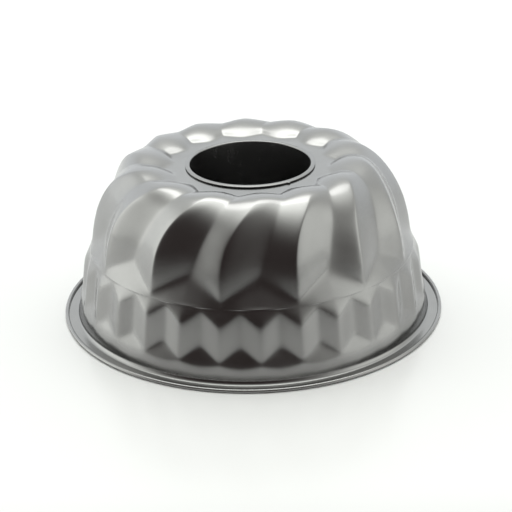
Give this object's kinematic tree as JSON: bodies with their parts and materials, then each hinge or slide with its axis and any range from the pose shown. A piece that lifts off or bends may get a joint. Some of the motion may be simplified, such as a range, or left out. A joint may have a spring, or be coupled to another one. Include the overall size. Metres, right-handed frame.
{
  "type": "fluted tube pan",
  "caption": "Round baking mould with swirled flutes over a pleated band, a flat rim with a curled bead, and an open centre tube crimped into the crown.",
  "frame": {"origin": "on the pan's axis, in the plane that the rim rests on, with the pan standing crown up", "axes": "+Z along the axis of the pan and of its centre tube, from the rim to the crown; +X and +Y across the round rim"},
  "size_m": [0.25, 0.25, 0.1046],
  "materials": {
    "shell_coating": "satin dark grey non-stick coating on steel",
    "tube_coating": "satin dark grey non-stick coating on steel"
  },
  "bodies": {
    "root": {"fluted_shell": "shell_coating", "centre_tube": "tube_coating"}
  },
  "joints": []
}
